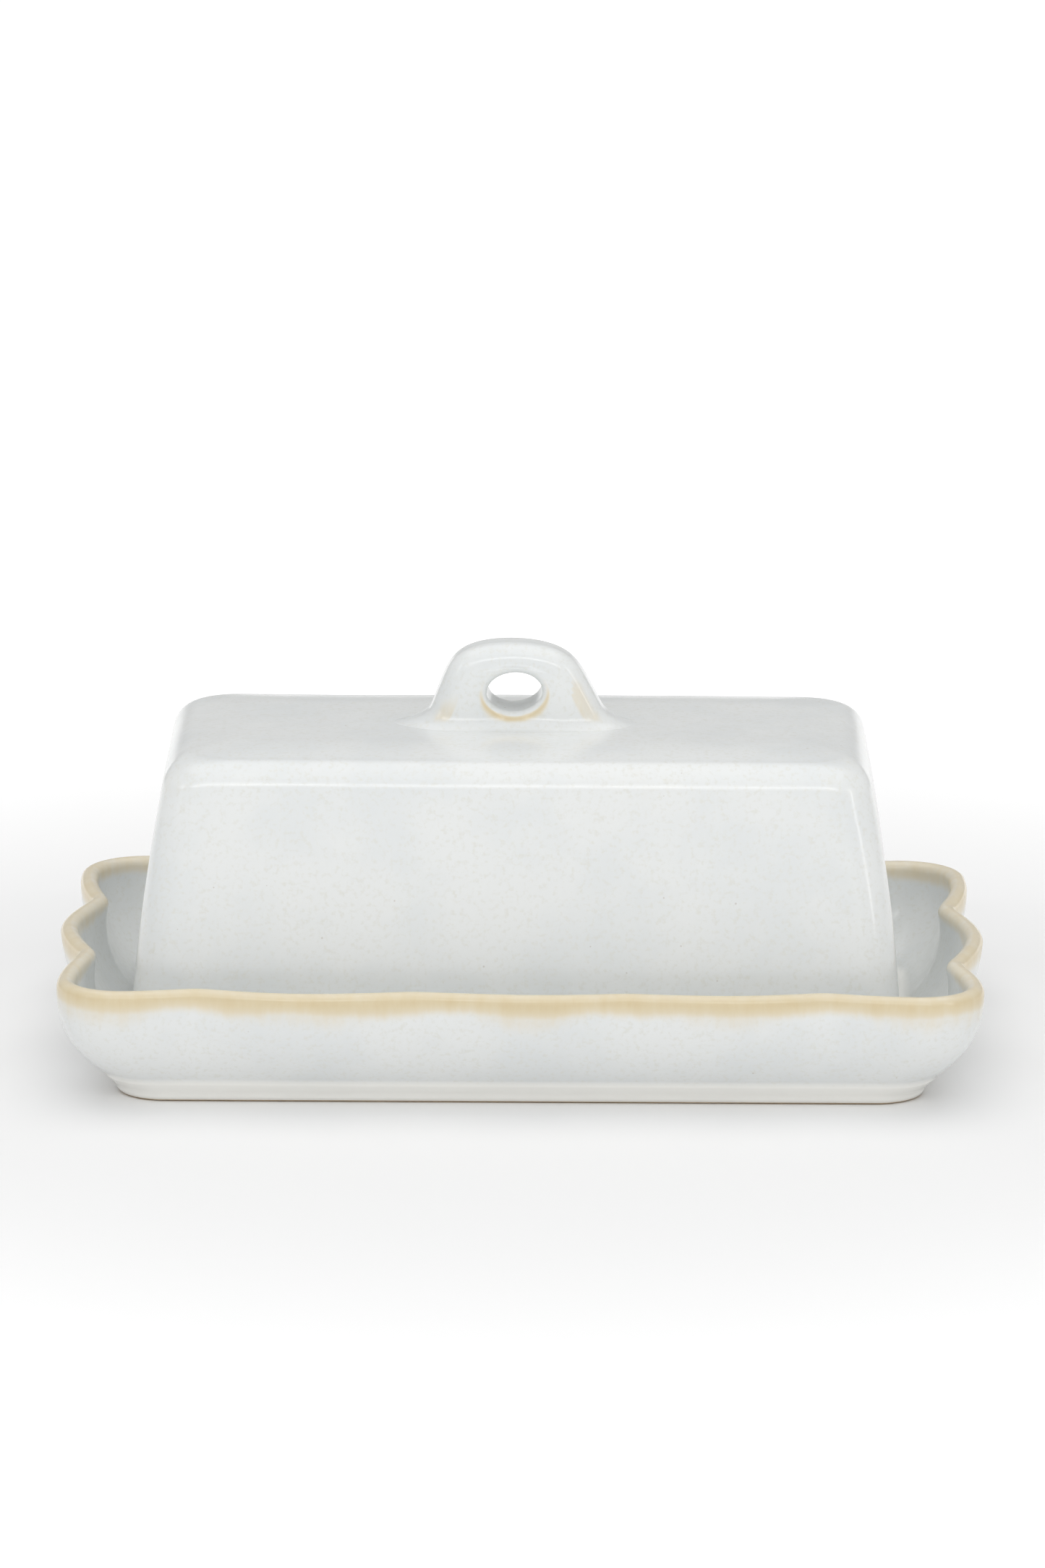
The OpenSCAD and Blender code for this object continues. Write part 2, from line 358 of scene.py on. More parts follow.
@dataclass(frozen=True)
class StonewareGlaze:
    """Glossy off-white reactive glaze on buff stoneware, dipped and fired in an oven.

    It pools milky white on flats, with soft clouds and fine iron specks. Where it runs thin, on
    rims and sharp edges, the iron in the body breaks through it as honey brown.
    """

    name: str
    milk: str = "#EAECEB"
    cloud: str = "#E5E8E8"
    cream: str = "#E0E0D9"
    iron: str = "#9A8468"
    clay: str = "#C9B08A"
    rust: str = "#B5703F"
    # Painted reflection: the paler white laid low on the tray's foot band, standing for the bright
    # floor seen in it.
    painted_foot_light: str = "#FBFAF5"
    honeys: tuple[tuple[float, str], ...] = (
        (0.1, "#EBE7DC"), (0.45, "#E6DDC8"), (0.75, "#DFD0AE"), (1.0, "#D6C094"))
    clouds: Mottle = Mottle(size_mm=19.0, detail=4.0, low=0.38, high=0.68)
    curds: Mottle = Mottle(size_mm=1.1, detail=3.0, low=0.48, high=0.74, strength=0.6)
    satin: Mottle = Mottle(size_mm=9.0, detail=2.0, low=0.3, high=0.7, strength=0.07)
    iron_specks: Specks = Specks(cell_mm=4.0, radius_mm=0.36, share=0.34, strength=0.30)
    rust_freckles: Specks = Specks(cell_mm=7.5, radius_mm=0.75, share=0.42, strength=0.75)
    slow_ripple: Relief = Relief(size_mm=9.0, detail=1.0, strength=0.35, depth_mm=0.16)
    orange_peel: Relief = Relief(size_mm=1.1, detail=2.0, strength=0.22, depth_mm=0.02)
    streak_mm: float = 3.2
    streak_detail: float = 4.0
    streak_roughness: float = 0.6
    streak_strength: float = 0.36
    streak_squash: float = 0.3
    honey_shows: tuple[float, float] = (0.06, 0.62)
    rust_shows: tuple[float, float] = (0.6, 0.9)
    roughness: float = 0.16
    clay_roughness: float = 0.85
    glass_ior: float = 1.52
    # Height, share and strength of the painted reflection of the floor: the white turns paler towards
    # the bottom.
    painted_foot_light_mm: float = 0.0
    painted_foot_light_whole: float = 0.7
    painted_foot_light_strength: float = 0.9

    def material(self) -> bpy.types.Material:
        """Builds the glaze.

        Returns:
            The material, named for its finish.
        """
        material = bpy.data.materials.new(self.name)
        material.use_nodes = True
        tree = material.node_tree
        tree.nodes.clear()
        place = add_node(tree, "ShaderNodeTexCoord").outputs["Object"]
        honey = self.honey_share(tree, place)
        bare = add_node(tree, "ShaderNodeAttribute", attribute_name=BARE).outputs["Fac"]
        colour = self.milky_body(tree, place)
        colour = self.broken(tree, place, colour, honey)
        colour = self.mixed(tree, bare, colour, linear(self.clay))
        shader = add_node(
            tree, "ShaderNodeBsdfPrincipled",
            links={"Base Color": colour, "Roughness": self.gloss(tree, place, bare),
                   "Normal": self.ripple(tree, place)},
            values={"IOR": self.glass_ior},
        )
        add_node(tree, "ShaderNodeOutputMaterial", links={"Surface": shader.outputs["BSDF"]})
        return material

    def pattern(self, tree: bpy.types.NodeTree, place: bpy.types.NodeSocket, size_mm: float,
                detail: float = 3.0, roughness: float = 0.55) -> bpy.types.NodeSocket:
        """Adds a soft cloudy pattern.

        Args:
            tree: The material's tree.
            place: The coordinates, in metres.
            size_mm: The width of one cloud.
            detail: How many finer patterns lie on top of it.
            roughness: How strong each finer pattern is.

        Returns:
            Its value, around 0.5.
        """
        return add_node(
            tree, "ShaderNodeTexNoise", links={"Vector": place},
            values={"Scale": 1 / (size_mm * MM), "Detail": detail, "Roughness": roughness},
        ).outputs["Fac"]

    def rise(self, tree: bpy.types.NodeTree, value: bpy.types.NodeSocket, low: float, high: float,
             top: float = 1.0) -> bpy.types.NodeSocket:
        """Maps low to high onto 0 to top, with a smooth start and end."""
        return add_node(
            tree, "ShaderNodeMapRange", links={"Value": value}, interpolation_type="SMOOTHSTEP",
            values={"From Min": low, "From Max": high, "To Min": 0.0, "To Max": top},
        ).outputs["Result"]

    def mottle(self, tree: bpy.types.NodeTree, place: bpy.types.NodeSocket,
               mottle: Mottle) -> bpy.types.NodeSocket:
        """Adds a cloudy pattern and returns how much of it shows, up to its strength."""
        clouds = self.pattern(tree, place, mottle.size_mm, mottle.detail)
        return self.rise(tree, clouds, mottle.low, mottle.high, mottle.strength)

    def mixed(self, tree: bpy.types.NodeTree, share: bpy.types.NodeSocket, first: object,
              second: object) -> bpy.types.NodeSocket:
        """Mixes two colours, each of them a socket or a linear colour.

        Args:
            tree: The material's tree.
            share: How much of the second shows.
            first: The colour where the share is 0.
            second: The colour where it is 1.

        Returns:
            The mixed colour.
        """
        blend = add_node(tree, "ShaderNodeMix", links={"Factor": share}, data_type="RGBA")
        for number, colour in ((6, first), (7, second)):
            if isinstance(colour, bpy.types.NodeSocket):
                tree.links.new(colour, blend.inputs[number])
            else:
                blend.inputs[number].default_value = colour
        return blend.outputs[2]

    def scattered(self, tree: bpy.types.NodeTree, place: bpy.types.NodeSocket,
                  specks: Specks) -> bpy.types.NodeSocket:
        """Scatters small round specks of many sizes.

        Args:
            tree: The material's tree.
            place: The coordinates, in metres.
            specks: Their spacing, size and number.

        Returns:
            1 inside a speck and 0 outside.
        """
        cells = add_node(tree, "ShaderNodeTexVoronoi", links={"Vector": place},
                         values={"Scale": 1 / (specks.cell_mm * MM), "Randomness": 1.0})
        chance = add_node(tree, "ShaderNodeSeparateColor",
                          links={"Color": cells.outputs["Color"]}).outputs["Red"]
        largest = specks.radius_mm / specks.cell_mm
        size = add_node(
            tree, "ShaderNodeMapRange", links={"Value": chance},
            values={"From Min": 1 - specks.share, "From Max": 1.0, "To Min": 0.0, "To Max": largest},
        ).outputs["Result"]
        near = add_node(tree, "ShaderNodeMath", operation="SUBTRACT",
                        links={0: size, 1: cells.outputs["Distance"]}).outputs[0]
        return self.rise(tree, near, 0.0, SPECK_EDGE * largest)

    def milky_body(self, tree: bpy.types.NodeTree,
                   place: bpy.types.NodeSocket) -> bpy.types.NodeSocket:
        """The white of the glaze: clouds, fine mottling, iron specks, and a painted reflection: paler
        white low on the foot band, where the bright floor shines on it.
        """
        colour = self.mixed(tree, self.mottle(tree, place, self.clouds), linear(self.milk),
                            linear(self.cloud))
        colour = self.mixed(tree, self.mottle(tree, place, self.curds), colour, linear(self.cream))
        iron = add_node(tree, "ShaderNodeMath", operation="MULTIPLY",
                        links={0: self.scattered(tree, place, self.iron_specks)},
                        values={1: self.iron_specks.strength}).outputs[0]
        colour = self.mixed(tree, iron, colour, linear(self.iron))
        if self.painted_foot_light_mm == 0.0:
            return colour
        # Painted reflection: below the set height the white turns paler towards the bottom, as the
        # bright floor would make the foot band look.
        height = add_node(tree, "ShaderNodeSeparateXYZ", links={"Vector": place}).outputs["Z"]
        top = self.painted_foot_light_mm * MM
        painted_lit = self.rise(tree, height, top, self.painted_foot_light_whole * top, self.painted_foot_light_strength)
        return self.mixed(tree, painted_lit, colour, linear(self.painted_foot_light))

    def honey_share(self, tree: bpy.types.NodeTree,
                    place: bpy.types.NodeSocket) -> bpy.types.NodeSocket:
        """How thin the glaze is, with the streaks in which it ran while it was molten."""
        thin = add_node(tree, "ShaderNodeAttribute", attribute_name=BREAK).outputs["Fac"]
        drawn = add_node(tree, "ShaderNodeMapping", links={"Vector": place},
                         values={"Scale": (1.0, 1.0, self.streak_squash)}).outputs["Vector"]
        streaks = self.pattern(tree, drawn, self.streak_mm, self.streak_detail,
                               self.streak_roughness)
        shift = add_node(tree, "ShaderNodeMath", operation="MULTIPLY_ADD", links={0: streaks},
                         values={1: self.streak_strength, 2: -self.streak_strength / 2}).outputs[0]
        return add_node(tree, "ShaderNodeMath", operation="ADD", use_clamp=True,
                        links={0: thin, 1: shift}).outputs[0]

    def broken(self, tree: bpy.types.NodeTree, place: bpy.types.NodeSocket,
               colour: bpy.types.NodeSocket, honey: bpy.types.NodeSocket) -> bpy.types.NodeSocket:
        """Lays the honey break and its rust freckles over the white."""
        ramp = add_node(tree, "ShaderNodeValToRGB", links={"Fac": honey})
        fill_ramp(ramp, self.honeys)
        shown = self.rise(tree, honey, *self.honey_shows)
        colour = self.mixed(tree, shown, colour, ramp.outputs["Color"])
        freckles = self.scattered(tree, place, self.rust_freckles)
        strong = self.rise(tree, honey, *self.rust_shows, self.rust_freckles.strength)
        share = add_node(tree, "ShaderNodeMath", operation="MULTIPLY",
                         links={0: freckles, 1: strong}).outputs[0]
        return self.mixed(tree, share, colour, linear(self.rust))

    def gloss(self, tree: bpy.types.NodeTree, place: bpy.types.NodeSocket,
              bare: bpy.types.NodeSocket) -> bpy.types.NodeSocket:
        """Roughness: glassy, a little satin in places, and matt where the clay is bare."""
        satin = self.pattern(tree, place, self.satin.size_mm, self.satin.detail)
        smooth = add_node(
            tree, "ShaderNodeMapRange", links={"Value": satin},
            values={"From Min": self.satin.low, "From Max": self.satin.high,
                    "To Min": self.roughness, "To Max": self.roughness + self.satin.strength},
        ).outputs["Result"]
        return add_node(tree, "ShaderNodeMix", links={"Factor": bare, 2: smooth},
                        values={3: self.clay_roughness}, data_type="FLOAT").outputs[0]

    def bumped(self, tree: bpy.types.NodeTree, place: bpy.types.NodeSocket, relief: Relief,
               links: dict) -> bpy.types.NodeSocket:
        """Adds a bump node for a relief, and returns the surface's direction after it."""
        height = self.pattern(tree, place, relief.size_mm, relief.detail)
        return add_node(tree, "ShaderNodeBump", links={"Height": height, **links},
                        values={"Strength": relief.strength,
                                "Distance": relief.depth_mm * MM}).outputs["Normal"]

    def ripple(self, tree: bpy.types.NodeTree,
               place: bpy.types.NodeSocket) -> bpy.types.NodeSocket:
        """The slow ripple and the fine orange peel of a thick glaze."""
        slow = self.bumped(tree, place, self.slow_ripple, {})
        return self.bumped(tree, place, self.orange_peel, {"Normal": slow})


# ---------------------------------------------------------------- the tray


@dataclass(frozen=True)
class Furrow:
    """A furrow pressed into the wall: its place along the side, and its depth at the rim."""

    place: float
    depth: float


@dataclass(frozen=True)
class HoneyBand:
    """A band under the crest where the glaze thins: where it ends, and how its end wanders.

    Sizes in millimetres; the two patch values say what one patch of thinner glaze adds.
    """

    lobe_end: float
    furrow_end: float
    fade: float
    strength: float
    patch_end: float
    patch_fade: float = 0.0

    def share(self, below: float, furrow: float, patch: float) -> float:
        """How thin the glaze is in the band.

        Args:
            below: How far below the crest the point is.
            furrow: 0 on a lobe to 1 in a furrow.
            patch: How much the glaze is thinner here than nearby, -1 to 1.

        Returns:
            0 for thick white glaze to the band's strength.
        """
        end = mix(self.lobe_end, self.furrow_end, furrow) + self.patch_end * patch
        return ease(end, end - self.fade - self.patch_fade * patch, below) * self.strength


@dataclass
class RuffledTray:
    """The tray: foot, flaring wall pressed into lobes, and a round rim. Sizes in millimetres."""

    node: str = "tray"
    wall: float = 4.0
    floor: float = 5.0
    flare: float = 10.0
    heel: float = 1.0
    rim_corner: float = 15.0
    foot_corner: float = 11.5
    floor_corner: float = 9.0
    foot_band: float = 5.5
    foot_lean: float = 2.5
    foot_edge: float = 2.0
    foot_ring: float = 7.0
    recess: float = 1.0
    lean_power: float = 2.3
    furrow_tip: float = 1.5
    furrow_margin: float = 4.0
    furrow_reach: float = 25.0
    end_bow: float = 1.75
    long_bow: float = 0.7
    rim_tilt: float = 0.25
    rim_sway: Swell = Swell(height=0.35, wave=38, seed=4.0)
    press: Swell = Swell(height=0.28, wave=21, seed=9.0)
    patches: Swell = Swell(height=1.0, wave=16, seed=1.0)
    band: HoneyBand = HoneyBand(lobe_end=8.6, furrow_end=8.6, fade=5.8, strength=0.82,
                                patch_end=2.0, patch_fade=1.2)
    veil: HoneyBand = HoneyBand(lobe_end=12.5, furrow_end=8.0, fade=7.0, strength=0.37,
                                patch_end=2.6)
    inner_band: HoneyBand = HoneyBand(lobe_end=7.2, furrow_end=5.4, fade=3.5, strength=0.52,
                                      patch_end=1.4)
    # Painted highlight: less honey right on the crest, so the crest reads paler there.
    crest_painted_highlight: float = 0.76
    crest_painted_highlight_run: tuple[float, float] = (0.8, 3.2)
    floor_turn: float = 2.2
    floor_run: float = 0.6
    flat_run: float = 3.0
    flat_soft: float = 1.0
    recess_steps: tuple[tuple[float, float], ...] = (
        (1.6, 1.0), (0.9, 1.0), (0.35, 0.8), (0.1, 0.4), (0.0, 0.12))
    ring_soft: float = 0.2
    band_soft: float = 0.5
    cap_run: float = 24.0
    cap_corner: float = 3.0
    wiped_inside: tuple[float, float] = (0.9, 0.5)
    wiped_outside: tuple[float, float] = (0.55, 0.25)
    outline: Outline = Outline(long_points=190, end_points=104, corner_points=20)
    front: tuple[Furrow, ...] = (
        Furrow(-71, 3.3), Furrow(-24, 2.3), Furrow(24, 2.3), Furrow(67.6, 3.2))
    back: tuple[Furrow, ...] = (
        Furrow(-69, 3.3), Furrow(-23, 2.2), Furrow(23.5, 2.4), Furrow(70, 3.3))
    right: tuple[Furrow, ...] = (Furrow(-31, 4.8), Furrow(21.5, 4.9))
    left: tuple[Furrow, ...] = (Furrow(-25, 4.8), Furrow(24.5, 4.9))

    def __post_init__(self) -> None:
        """Takes the overall sizes from the CAD node."""
        _, high = node_box(self.node)
        self.rim_x = high.x - self.end_bow
        self.rim_y = high.y - self.long_bow
        self.height = high.z
        self.crest_z = self.height - self.wall / 2

    def furrow_share(self, stretch: Stretch, share: float) -> tuple[float, float]:
        """How far the rim is set back at a point, and how deep in a furrow the point is.

        Args:
            stretch: The stretch of the rim.
            share: How far along it the point is.

        Returns:
            The set-back in millimetres, and 0 on a lobe to 1 at the bottom of a furrow.
        """
        if stretch.is_corner:
            return 0.0, 0.0
        is_long = stretch in (Stretch.FRONT, Stretch.BACK)
        half = (self.rim_x if is_long else self.rim_y) - self.rim_corner
        furrows = {Stretch.FRONT: self.front, Stretch.BACK: self.back,
                   Stretch.RIGHT: self.right, Stretch.LEFT: self.left}[stretch]
        at = along(stretch, share, half)
        end = half + self.furrow_margin
        places = [-end, *(furrow.place for furrow in furrows), end]
        depth, deepest = 0.0, 0.0
        for number, furrow in enumerate(furrows, start=1):
            far = abs(at - furrow.place)
            soft = math.sqrt(far * far + self.furrow_tip ** 2) - self.furrow_tip
            neighbour = number + (1 if at > furrow.place else -1)
            gap = abs(places[neighbour] - furrow.place)
            is_inner = 0 < neighbour < len(places) - 1
            reach = gap / 2 if is_inner else min(gap - self.furrow_margin, self.furrow_reach)
            dent = 1 - math.sin(math.pi / 2 * min(1.0, soft / reach))
            depth = max(depth, furrow.depth * dent)
            deepest = max(deepest, dent)
        bow = (self.long_bow if is_long else self.end_bow) * math.cos(math.pi / 2 * at / half)
        edge = min(1.0, (half - abs(at)) / self.furrow_tip)
        return depth * edge - bow, deepest

    def lean(self, s: float) -> float:
        """How far the wall stands in from the rim at a share s of its height."""
        return self.flare * (1 - s) ** self.lean_power

    def inner_lean(self, s: float) -> float:
        """How far the wall's inside stands in from the rim at a share s of its height."""
        return self.wall + self.lean(s) + self.heel * (1 - s) ** self.lean_power

    def ring(self, inset: float, radius: float, z: float, s: float, outside: float | None = None,
             inside: float | None = None, bare: float = 0.0) -> list[Spot]:
        """One ring of the tray.

        Args:
            inset: How far the ring stands in from the rim's nominal outline.
            radius: The radius of its corners.
            z: Its height.
            s: How much of the ruffle it has, 0 to 1.
            outside: How far below the crest it is on the outside, where the glaze breaks.
            inside: The same on the inside.
            bare: 1 where the clay is unglazed.

        Returns:
            The ring's points.
        """
        spots = []
        for stretch, share in self.outline.places():
            back, furrow = self.furrow_share(stretch, share)
            x, y = rounded(stretch, share, self.rim_x - inset, self.rim_y - inset, radius,
                           s * back)
            place = Vector((x, y, z))
            push = self.press.at(place) * math.sqrt(max(0.0, s))
            sway = self.rim_sway.at(Vector((x, y, 0)))
            place.z += s * s * (sway - self.rim_tilt * x / self.rim_x)
            place += Vector((x / self.rim_x, y / self.rim_y, 0)).normalized() * push
            spots.append(Spot(place, self.honey(place, furrow, outside, inside), bare))
        return spots

    def honey(self, place: Vector, furrow: float, outside: float | None,
              inside: float | None) -> float:
        """How thin the glaze is at a point near the rim, held back right on the crest as a painted
        highlight.

        Args:
            place: Where the point is.
            furrow: 0 on a lobe to 1 in a furrow, where the glaze gathers and stays thick.
            outside: Millimetres below the crest on the outside, or None.
            inside: Millimetres below the crest on the inside, or None.

        Returns:
            0 for thick white glaze to 1 for a full honey break.
        """
        patch = self.patches.at(Vector((place.x, place.y, 0)))
        if outside is not None:
            band = self.band.share(outside, furrow, patch)
            # Painted highlight: the honey is weakened on the crest itself, so the crest line stays
            # paler.
            band *= mix(self.crest_painted_highlight, 1.0, ease(*self.crest_painted_highlight_run, outside))
            return max(band, self.veil.share(outside, furrow, patch))
        if inside is not None:
            return self.inner_band.share(inside, furrow, patch)
        return 0.0

    def build(self) -> Skin:
        """Draws the tray from the middle of its underside, up over the rim, to the floor's middle.

        Returns:
            The closed skin.
        """
        foot_in = self.flare + self.foot_lean
        skin = self.start_foot(foot_in + self.foot_edge + self.foot_ring)
        for angle in turns(0, 90, 6):
            inset = self.foot_edge * (1 - math.sin(angle))
            z = self.foot_edge * (1 - math.cos(angle))
            skin.grow(self.ring(foot_in + inset, self.foot_corner - inset, z, 0,
                                bare=ease(*self.wiped_outside, z)))
        for t in shares(4)[1:]:
            z = mix(self.foot_edge, self.foot_band - self.band_soft, t)
            skin.grow(self.ring(foot_in - self.foot_lean * t, self.foot_corner, z, 0))
        for s in shares(30):
            z = mix(self.foot_band, self.crest_z, s)
            skin.grow(self.ring(self.lean(s), mix(self.foot_corner, self.rim_corner, s), z, s,
                                outside=self.below_crest(z)))
        rim_r = self.wall / 2
        for angle in turns(15, 165, 10):
            inset = rim_r * (1 - math.cos(angle))
            z = self.crest_z + rim_r * math.sin(angle)
            below = rim_r * abs(angle - math.pi / 2)
            is_outer = angle <= math.pi / 2
            skin.grow(self.ring(inset, self.rim_corner - inset, z, 1,
                                outside=below if is_outer else None,
                                inside=None if is_outer else below))
        self.grow_inside(skin)
        skin.cap()
        return skin

    def below_crest(self, z: float) -> float:
        """How far a point of the wall is from the crest, measured along the skin."""
        return self.crest_z - z + math.pi * self.wall / 4

    def start_foot(self, ring_in: float) -> Skin:
        """Draws the recess under the tray, out to the bare ring that it stands on.

        Args:
            ring_in: How far the ring's inner edge stands in from the rim's nominal outline.

        Returns:
            The skin so far.
        """
        corner = self.floor_corner
        skin = Skin(self.ring(ring_in + self.cap_run, self.cap_corner, self.recess, 0))
        skin.cap()
        for step_in, share in self.recess_steps:
            z = share * self.recess
            skin.grow(self.ring(ring_in + step_in, corner, z, 0, bare=ease(*self.wiped_inside, z)))
        skin.grow(self.ring(ring_in - self.ring_soft, corner, 0, 0, bare=1.0))
        return skin

    def grow_inside(self, skin: Skin) -> None:
        """Draws the inner wall, the soft turn at its foot and the floor.

        Args:
            skin: The skin, drawn up to the rim.
        """
        corner = self.floor_corner
        for s in reversed(shares(26)):
            z = mix(self.floor, self.crest_z, s)
            if z < self.floor + self.floor_turn:
                continue
            radius = mix(corner, self.rim_corner - self.wall, s)
            skin.grow(self.ring(self.inner_lean(s), radius, z, s, inside=self.below_crest(z)))
        start = self.floor_turn / (self.crest_z - self.floor)
        last = self.inner_lean(0) + self.floor_run
        for t in shares(5)[1:]:
            inset = mix(self.inner_lean(start), last, t)
            z = self.floor + self.floor_turn * (1 - t) ** 2
            skin.grow(self.ring(inset, corner, z, start * (1 - t) ** 2))
        skin.grow(self.ring(last + self.flat_run, corner - self.flat_soft, self.floor, 0))


# ---------------------------------------------------------------- the lid


@dataclass
class BoxLid:
    """The lid: a tall hollow box with drafted, bowed sides and a soft crown. Millimetres."""

    node: str = "lid_shell"
    wall: float = 4.5
    roof: float = 5.5
    side_taper: float = 9.2
    end_taper: float = 7.0
    edge: float = 6.5
    edge_power: float = 0.78
    foot_corner: float = 7.2
    top_corner: float = 9.0
    crown: float = 1.2
    crown_run: float = 14.0
    foot_edge: float = 1.5
    roof_edge: float = 5.0
    straight_share: float = 0.3
    press: Swell = Swell(height=0.3, wave=34, seed=2.0)
    press_start: float = 0.25
    roof_press: float = 0.48
    cap_run: float = 20.0
    edge_run: float = 1.5
    cap_corner: float = 4.0
    least_corner: float = 2.0
    roof_steps: tuple[float, ...] = (5.0, 11.0)
    patches: Swell = Swell(height=0.5, wave=11, seed=6.0)
    honey_rise: tuple[float, float] = (-5.0, 2.0)
    honey_run: tuple[float, float] = (2.0, 0.3)
    corner_honey: float = 0.34
    side_honey: float = 0.14
    shift_x: float = -1.0
    outline: Outline = Outline(long_points=120, end_points=60, corner_points=16)

    def __post_init__(self) -> None:
        """Takes the overall sizes from the CAD node."""
        low, high = node_box(self.node)
        self.half_x, self.half_y = high.x, high.y
        self.foot_z, self.roof_z = low.z, high.z
        self.shoulder_z = self.roof_z - self.crown - self.edge

    def ring(self, s: float, inset: float, radius: float, z: float) -> list[Spot]:
        """One ring of the lid.

        Args:
            s: Its share of the height to the shoulder, which says how far the sides lean in.
            inset: How far it stands inside the leaning outer face.
            radius: The radius of its corners.
            z: Its height.

        Returns:
            The ring's points.
        """
        lean = self.straight_share * s + (1 - self.straight_share) * s * s
        half_x = self.half_x - self.end_taper * lean - inset
        half_y = self.half_y - self.side_taper * lean - inset
        spots = []
        for stretch, share in self.outline.places():
            x, y = rounded(stretch, share, half_x, half_y, radius)
            place = Vector((x, y, z))
            out = Vector((x / self.half_x, y / self.half_y, 0))
            swell = self.press.at(place) * ease(0, self.press_start, s)
            place += out.normalized() * min(1.0, out.length) * swell
            on_roof = ease(self.shoulder_z, self.roof_z - self.crown, z)
            place.z += self.roof_press * swell * on_roof
            place.x += self.shift_x
            spots.append(Spot(place, self.honey(place, stretch, inset)))
        return spots

    def honey(self, place: Vector, stretch: Stretch, inset: float) -> float:
        """How thin the glaze is: it barely breaks, on the corners of the lid's top.

        Args:
            place: Where the point is.
            stretch: Its stretch of the outline.
            inset: How far it stands inside the outer face.

        Returns:
            0 for thick white glaze to 1 for a full honey break.
        """
        start, end = self.honey_rise
        high = ease(self.shoulder_z + start, self.shoulder_z + end, place.z)
        past_edge, edge_share = self.honey_run
        rolled = ease(self.edge + past_edge, self.edge * edge_share, inset)
        most = self.corner_honey if stretch.is_corner else self.side_honey
        return most * high * rolled * (0.5 + self.patches.at(place))

    def build(self) -> Skin:
        """Draws the lid from the middle of its ceiling, down and out under its foot, to the roof.

        Returns:
            The closed skin.
        """
        ceiling_z = self.roof_z - self.crown - self.roof
        inner_top = ceiling_z - self.roof_edge
        inner_r = max(self.foot_corner - self.wall, self.least_corner)
        top_r = self.top_corner - self.wall
        inner_flat = self.wall + self.roof_edge
        skin = Skin(self.ring(1, inner_flat + self.cap_run, top_r, ceiling_z))
        skin.cap()
        skin.grow(self.ring(1, inner_flat + self.edge_run, top_r, ceiling_z))
        for angle in turns(90, 0, 7):
            skin.grow(self.ring(1, self.wall + self.roof_edge * (1 - math.cos(angle)), top_r,
                                inner_top + self.roof_edge * math.sin(angle)))
        for s in reversed(shares(14)[1:-1]):
            skin.grow(self.ring(s, self.wall, mix(inner_r, top_r, s),
                                mix(self.foot_z + self.foot_edge, inner_top, s)))
        self.grow_foot(skin, inner_r)
        for s in shares(24)[1:]:
            skin.grow(self.ring(s, 0, mix(self.foot_corner, self.top_corner, s),
                                mix(self.foot_z + self.foot_edge, self.shoulder_z, s)))
        for angle in turns(0, 90, 14)[1:]:
            inset = self.edge * (1 - math.cos(angle)) ** self.edge_power
            skin.grow(self.ring(1, inset, self.top_corner,
                                self.shoulder_z + self.edge * math.sin(angle)))
        for t in shares(10)[1:]:
            z = self.roof_z - self.crown * (1 - t) ** 2
            skin.grow(self.ring(1, self.edge + self.crown_run * t, self.top_corner, z))
        for inset in self.roof_steps:
            skin.grow(self.ring(1, self.edge + self.crown_run + inset, self.cap_corner,
                                self.roof_z))
        skin.cap()
        return skin

    def grow_foot(self, skin: Skin, inner_r: float) -> None:
        """Draws the round foot that stands on the tray's floor, from the inside to the outside.

        Args:
            skin: The skin, drawn down to the foot.
            inner_r: The radius of the foot's inner corners.
        """
        inner_middle = self.wall - self.foot_edge
        inner = (inner_middle, mix(inner_r, self.foot_corner, 0.5), turns(180, 90, 4))
        outer = (self.foot_edge, self.foot_corner, turns(90, 0, 4))
        for middle, radius, angles in (inner, outer):
            for angle in angles:
                skin.grow(self.ring(0, middle - self.foot_edge * math.cos(angle), radius,
                                    self.foot_z + self.foot_edge * (1 - math.sin(angle))))


# ---------------------------------------------------------------- the pull


@dataclass(frozen=True)
class Station:
    """One ring of the pull's section, in millimetres.

    The share is how far the ring is from the eye to the arch, the lip how far the eye is opened
    out there, the inset how far the arch is drawn in, and the depth how far it stands in front.
    """

    share: float
    lip: float
    inset: float
    depth: float


